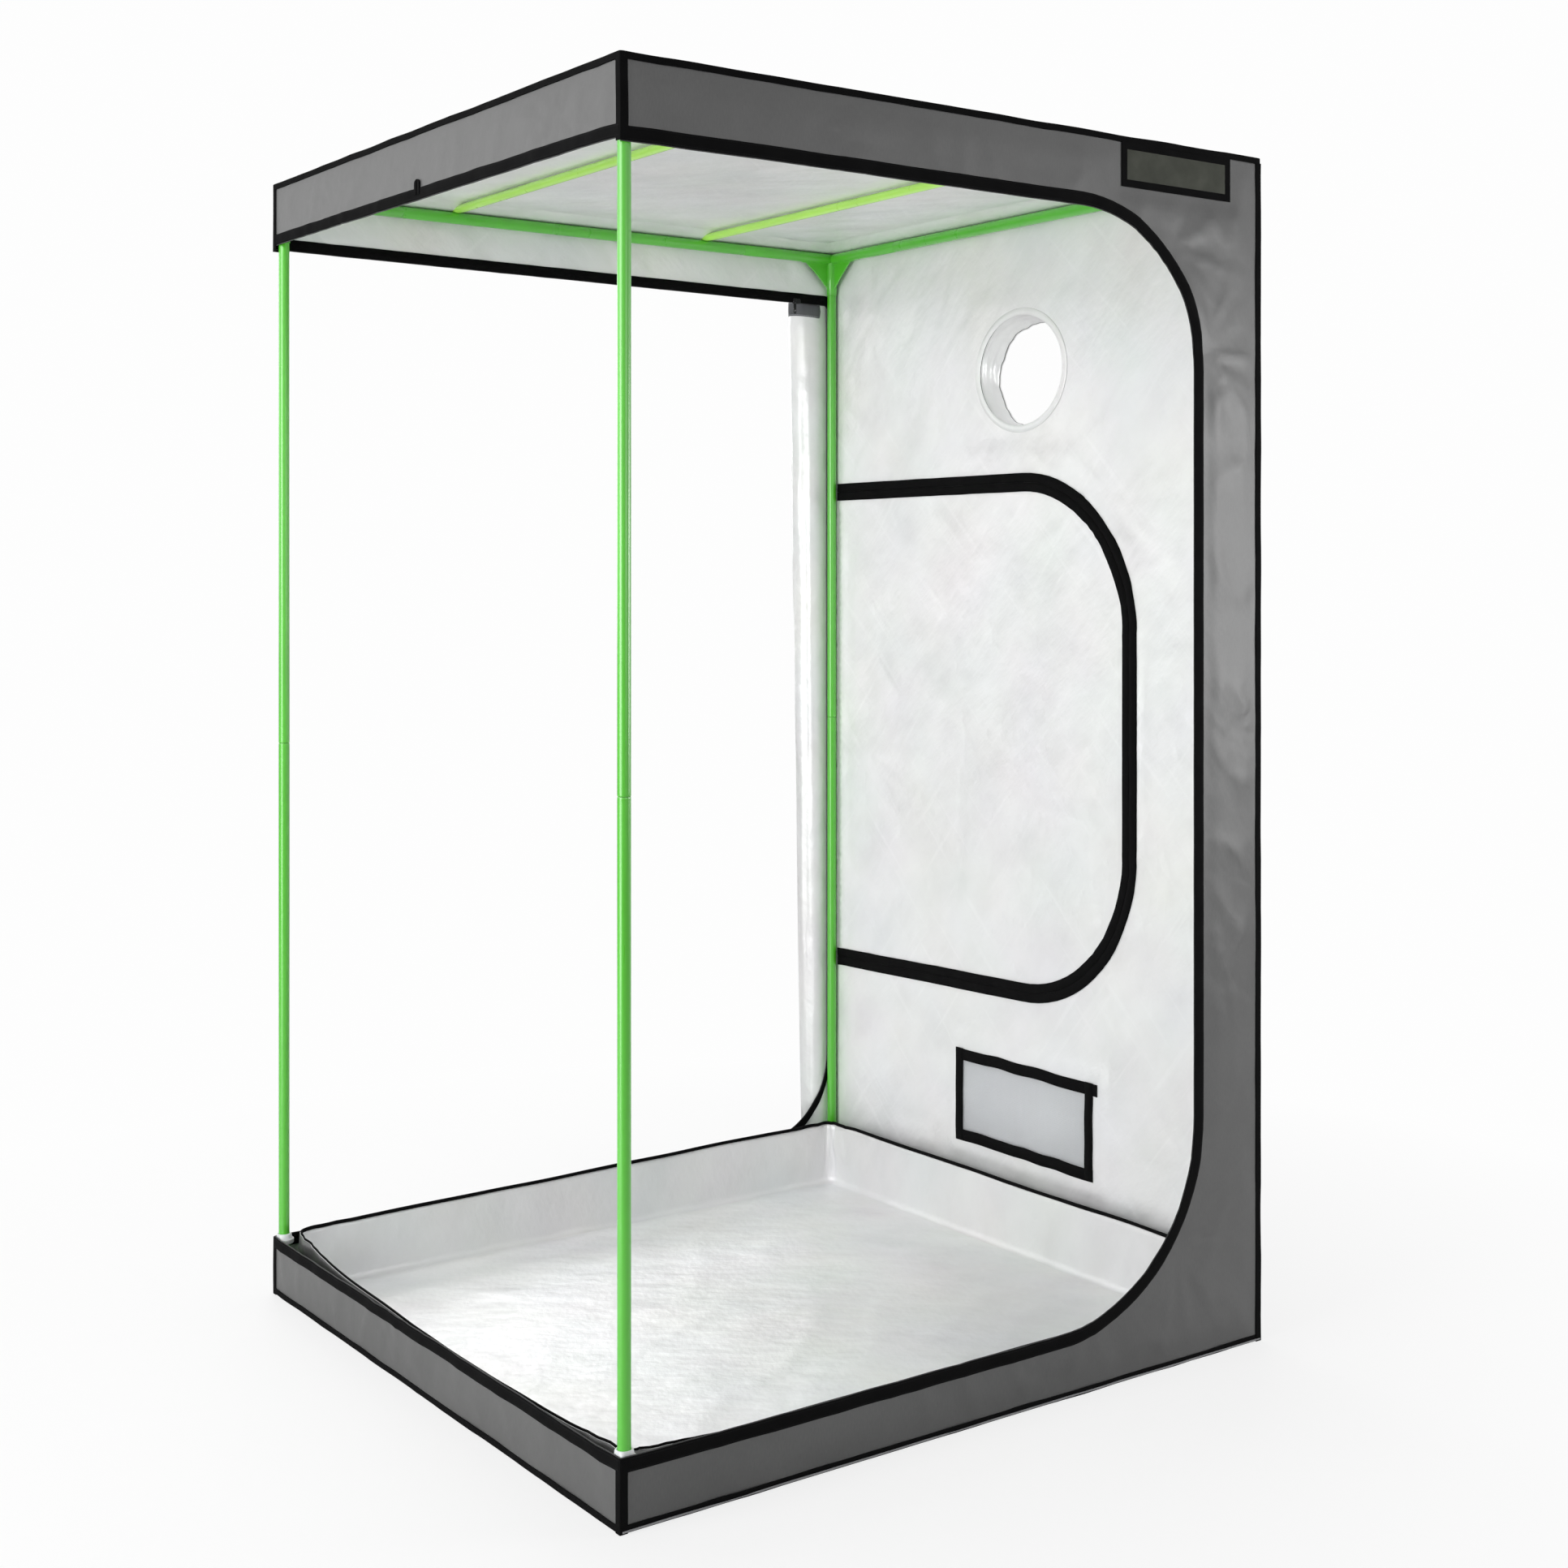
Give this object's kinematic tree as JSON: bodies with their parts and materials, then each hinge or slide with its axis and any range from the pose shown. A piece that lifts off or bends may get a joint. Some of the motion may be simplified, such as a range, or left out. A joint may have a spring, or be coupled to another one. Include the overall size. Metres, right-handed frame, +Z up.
{
  "type": "indoor grow tent",
  "caption": "Square indoor grow tent: tube frame in a silver lined cloth shell, wrap-round door rolled up at one corner, half door, duct port, vent and lift-out floor tray.",
  "frame": {"origin": "centre of the floor panel's underside, on the floor, midway between the four corner poles", "axes": "+Z up, +X out of the solid wall with the half door, duct port and vent, -Y out of the front"},
  "size_m": [1.3136, 1.3142, 2],
  "materials": {
    "green_tube": "gloss powder coat",
    "lime_tube": "gloss powder coat",
    "white_plastic": "satin",
    "grey_cloth": "woven polyester, faint sheen",
    "silver_lining": "reflective film, softly creased",
    "black_tape": "matt woven tape",
    "grey_strap": "matt webbing",
    "label_cloth": "matt patch, bare",
    "vent_net": "fine net",
    "zip_metal": "black enamel"
  },
  "bodies": {
    "tent": {"front_left_pole_lower": "green_tube", "front_left_pole_upper": "green_tube", "front_left_bottom_connector": "green_tube", "front_left_top_connector": "green_tube", "front_right_pole_lower": "green_tube", "front_right_pole_upper": "green_tube", "front_right_bottom_connector": "green_tube", "front_right_top_connector": "green_tube", "back_right_pole_lower": "green_tube", "back_right_pole_upper": "green_tube", "back_right_bottom_connector": "green_tube", "back_right_top_connector": "green_tube", "back_left_pole_lower": "green_tube", "back_left_pole_upper": "green_tube", "back_left_bottom_connector": "green_tube", "back_left_top_connector": "green_tube", "front_top_bar": "green_tube", "front_bottom_bar": "green_tube", "back_top_bar": "green_tube", "back_bottom_bar": "green_tube", "left_top_bar": "green_tube", "left_bottom_bar": "green_tube", "right_top_bar": "green_tube", "right_bottom_bar": "green_tube", "front_left_pole_collar": "white_plastic", "front_right_pole_collar": "white_plastic", "back_right_pole_collar": "white_plastic", "back_left_pole_collar": "white_plastic", "roof_panel": "grey_cloth", "front_panel": "grey_cloth", "back_panel": "grey_cloth", "left_top_band": "grey_cloth", "left_bottom_band": "grey_cloth", "duct_sleeve": "grey_cloth", "floor_panel": "silver_lining", "right_wall": "silver_lining", "door_roll": "silver_lining", "front_zip_tape": "black_tape", "back_zip_tape": "black_tape", "left_top_zip_tape": "black_tape", "left_bottom_zip_tape": "black_tape", "half_door_wall_tape": "black_tape", "vent_frame": "black_tape", "band_loop": "black_tape", "top_edge_binding": "black_tape", "bottom_edge_binding": "black_tape", "door_roll_strap": "grey_strap", "label_patch": "label_cloth", "vent_mesh": "vent_net"},
    "half_door": {"half_door_panel": "silver_lining", "half_door_tape": "black_tape"},
    "half_door_upper_slider": {"half_door_upper_slider": "zip_metal"},
    "half_door_lower_slider": {"half_door_lower_slider": "zip_metal"},
    "door_upper_slider": {"door_upper_slider": "zip_metal"},
    "door_lower_slider": {"door_lower_slider": "zip_metal"},
    "crossbar_left": {"crossbar_left": "lime_tube"},
    "crossbar_right": {"crossbar_right": "lime_tube"},
    "vent_flap": {"vent_flap": "grey_cloth"},
    "floor_tray": {"floor_tray": "silver_lining", "tray_edge_binding": "black_tape"}
  },
  "joints": [
    {"name": "half_door_swing", "type": "hinge", "parent": "tent", "child": "half_door", "pos_m": [0.62, 0.6, 0.985], "axis": [0, 0, 1], "range_deg": [0, 165]},
    {"name": "half_door_upper_zip", "type": "slide", "parent": "half_door", "child": "half_door_upper_slider", "axis": [0, 0, 1], "range_m": [0, 0.15]},
    {"name": "half_door_lower_zip", "type": "slide", "parent": "half_door", "child": "half_door_lower_slider", "axis": [0, 0, -1], "range_m": [0, 0.15]},
    {"name": "door_upper_zip", "type": "slide", "parent": "tent", "child": "door_upper_slider", "axis": [-1, 0, 0], "range_m": [0, 1.08]},
    {"name": "door_lower_zip", "type": "slide", "parent": "tent", "child": "door_lower_slider", "axis": [-1, 0, 0], "range_m": [0, 0.96]},
    {"name": "crossbar_left_shift", "type": "slide", "parent": "tent", "child": "crossbar_left", "axis": [1, 0, 0], "range_m": [-0.2, 0.2]},
    {"name": "crossbar_right_shift", "type": "slide", "parent": "tent", "child": "crossbar_right", "axis": [1, 0, 0], "range_m": [-0.2, 0.2]},
    {"name": "vent_flap_lift", "type": "hinge", "parent": "tent", "child": "vent_flap", "pos_m": [0.6223, -0.005, 0.369], "axis": [0, -1, 0], "range_deg": [0, 120]},
    {"name": "floor_tray_lift", "type": "slide", "parent": "tent", "child": "floor_tray", "axis": [0, 0, 1], "range_m": [0, 0.3]}
  ]
}
